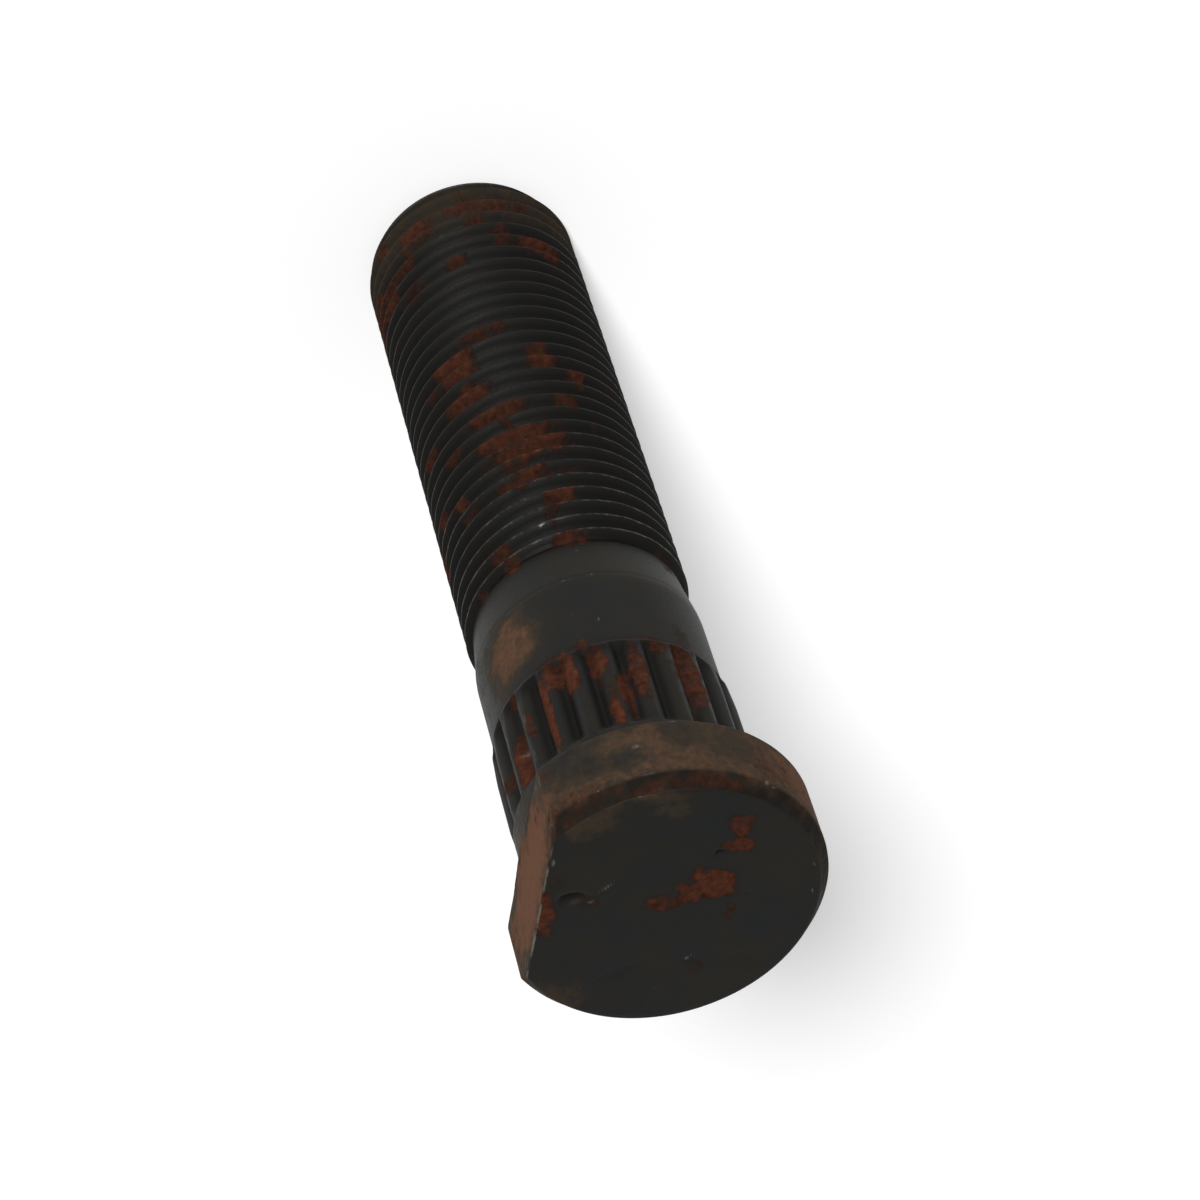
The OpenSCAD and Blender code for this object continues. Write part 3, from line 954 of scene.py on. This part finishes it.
def steel_colour(tree, steel):
    """The coat, then brown film, rust and bare steel, partly a painted highlight, over it. Painted shade
    darkens all but the bare steel.
    """
    green = add(tree, "ShaderNodeMapRange",
                {"Value": steel.clouds, "From Min": GREEN_SPAN[0], "From Max": GREEN_SPAN[1]})
    thick_film = add(tree, "ShaderNodeMath", {"Value": steel.pits, "Value_001": steel.film_in},
                     operation="ADD")
    warm = add(tree, "ShaderNodeMapRange",
               {"Value": thick_film, "From Min": WARM_SPAN[0], "From Max": WARM_SPAN[1]})
    thick_rust = add(tree, "ShaderNodeMath",
                     {"Value": steel.pits, "Value_001": PIT_WEIGHT, "Value_002": steel.rust_in},
                     operation="MULTIPLY_ADD")
    orange = add(tree, "ShaderNodeMapRange",
                 {"Value": thick_rust, "From Min": ORANGE_SPAN[0], "From Max": ORANGE_SPAN[1]})
    shade_on_rust = add(tree, "ShaderNodeMath", {"Value": steel.shade_and_darkening_share, "Value_001": SHADE_ON_RUST},
                       operation="MULTIPLY")
    coat = laid_over(tree, COAT_BLUE, (green, COAT_GREEN), (steel.shade_and_darkening_share, COAT_DARK))
    film = laid_over(tree, RUST_FILM, (warm, RUST_FILM_WARM), (steel.shade_and_darkening_share, COAT_DARK))
    rust = laid_over(tree, RUST_RED, (orange, RUST_ORANGE), (shade_on_rust, COAT_DARK))
    return laid_over(tree, coat, (steel.film, film), (steel.rust, rust), (steel.bare, BARE_STEEL))


def steel_shine(tree, steel):
    """How metallic and how rough it is: film and rust are dull, and bare steel is the smoothest."""
    hidden = add(tree, "ShaderNodeMath", {"Value": steel.covered, "Value_001": steel.shade_and_darkening_share},
                 operation="MAXIMUM")
    sheen = add(tree, "ShaderNodeMapRange", {"Value": hidden, "To Min": COAT_METALLIC, "To Max": 0.0})
    metal = add(tree, "ShaderNodeMath", {"Value": sheen, "Value_001": steel.bare}, operation="MAXIMUM")
    dull = add(tree, "ShaderNodeMapRange",
               {"Value": steel.covered, "To Min": COAT_ROUGHNESS, "To Max": RUST_ROUGHNESS})
    grainy = add(tree, "ShaderNodeMath",
                 {"Value": steel.grain, "Value_001": GRAIN_ROUGHNESS, "Value_002": dull},
                 operation="MULTIPLY_ADD")
    polish = add(tree, "ShaderNodeMapRange", {"Value": steel.bare, "To Min": 0.0, "To Max": BARE_POLISH})
    return metal, add(tree, "ShaderNodeMath", {"Value": grainy, "Value_001": polish}, operation="SUBTRACT")


def steel_relief(tree, steel):
    """Fine grain everywhere, with the crust of film and rust standing on it."""
    crust = add(tree, "ShaderNodeMath", {"Value": steel.pits, "Value_001": steel.covered},
                operation="MULTIPLY")
    height = add(tree, "ShaderNodeMath",
                 {"Value": steel.grain, "Value_001": GRAIN_HEIGHT, "Value_002": crust},
                 operation="MULTIPLY_ADD")
    return add(tree, "ShaderNodeBump",
               {"Strength": BUMP_STRENGTH, "Distance": BUMP_DEPTH * MM, "Height": height})


def phosphated_steel():
    """Manganese-phosphated steel: a dull near-black crystal coat that has rusted through in patches."""
    material = bpy.data.materials.new("phosphated_steel")
    tree = empty_tree(material)
    steel = steel_layers(tree)
    metal, roughness = steel_shine(tree, steel)
    surface = add(tree, "ShaderNodeBsdfPrincipled", {
        "Base Color": steel_colour(tree, steel), "Metallic": metal, "Roughness": roughness,
        "Normal": steel_relief(tree, steel), "Specular IOR Level": SPECULAR_LEVEL})
    add(tree, "ShaderNodeOutputMaterial", {"Surface": surface})
    return material


def white_table():
    """Matt white table top: plain white to the eye, and it keeps the shadow."""
    material = bpy.data.materials.new("matt_white_table")
    tree = empty_tree(material)
    paper = add(tree, "ShaderNodeBsdfDiffuse", {"Color": TABLE_WHITE})
    lift = add(tree, "ShaderNodeMath", {"Value": seen_directly(tree), "Value_001": TABLE_LIFT},
               operation="MULTIPLY")
    glow = add(tree, "ShaderNodeEmission", {"Strength": lift})
    both = add(tree, "ShaderNodeAddShader", {"Shader": paper, "Shader_001": glow})
    add(tree, "ShaderNodeOutputMaterial", {"Surface": both})
    return material


# The stud
def make_stud():
    """The dressed stud, in place."""
    finish = phosphated_steel()
    bm = stud_skin(finish)
    for edge in bm.edges:
        edge.smooth = edge.calc_face_angle(0) < SHARP_ANGLE
    for face in bm.faces:
        face.smooth = True
    bmesh.ops.triangulate(bm, faces=[f for f in bm.faces if len(f.verts) > 4])
    skin = bpy.data.meshes.new("wheel_stud_skin")
    bm.to_mesh(skin)
    bm.free()
    weather(skin)
    skin.materials.clear()
    skin.materials.append(finish)
    return placed("wheel_stud_skin", skin)


# Table, camera and light
TABLE_REACH = 2.0
# The camera was solved from the photo: it looks down past the head along the shank. Places are in metres.
CAMERA_PLACE = Vector((0.06765, -0.17362, 0.24449))
CAMERA_RIGHT = Vector((-0.96768, -0.14972, 0.20292))
CAMERA_UP = Vector((-0.01693, -0.76429, -0.64465))
CAMERA_NEAREST = 0.01
LENS = 119.35
SENSOR = 36.0
# A soft lamp on the camera's side throws the shadow along the stud's right side in the picture
KEY_FROM = Vector((0.368, -0.677, 0.639))
KEY_POWER = 2.85
KEY_SPREAD = math.radians(10)
# Light of the room on the stud and the table. What is seen of the room itself is white.
ROOM_LIGHT = 0.42


def make_table():
    """The white table top, flat at the height of the stud's end face."""
    corners = [(x * TABLE_REACH, y * TABLE_REACH, 0) for x, y in ((-1, -1), (1, -1), (1, 1), (-1, 1))]
    mesh = bpy.data.meshes.new("table")
    mesh.from_pydata(corners, [], [(0, 1, 2, 3)])
    mesh.materials.append(white_table())
    return placed("table", mesh)


def set_camera():
    """The photo's camera."""
    data = bpy.data.cameras.new("camera")
    data.sensor_width = SENSOR
    data.lens = LENS
    data.clip_start = CAMERA_NEAREST
    camera = placed("camera", data)
    back = CAMERA_RIGHT.cross(CAMERA_UP)
    turn = Matrix((CAMERA_RIGHT, CAMERA_UP, back)).transposed().to_4x4()
    camera.matrix_world = Matrix.Translation(CAMERA_PLACE) @ turn
    bpy.context.scene.camera = camera


def set_light():
    """One soft lamp, and a white room that lights the stud less than it shows."""
    data = bpy.data.lights.new("key", "SUN")
    data.energy = KEY_POWER
    data.angle = KEY_SPREAD
    lamp = placed("key", data)
    lamp.location = KEY_FROM
    lamp.rotation_euler = KEY_FROM.to_track_quat("Z", "Y").to_euler()
    world = bpy.data.worlds.new("room")
    tree = empty_tree(world)
    strength = add(tree, "ShaderNodeMapRange",
                   {"Value": seen_directly(tree), "To Min": ROOM_LIGHT, "To Max": 1.0})
    glow = add(tree, "ShaderNodeBackground", {"Strength": strength})
    add(tree, "ShaderNodeOutputWorld", {"Surface": glow})
    bpy.context.scene.world = world


stud = make_stud()
table = make_table()
set_camera()
set_light()
bpy.context.scene.view_settings.view_transform = "Standard"

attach(stud, "root")
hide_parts("wheel_stud")
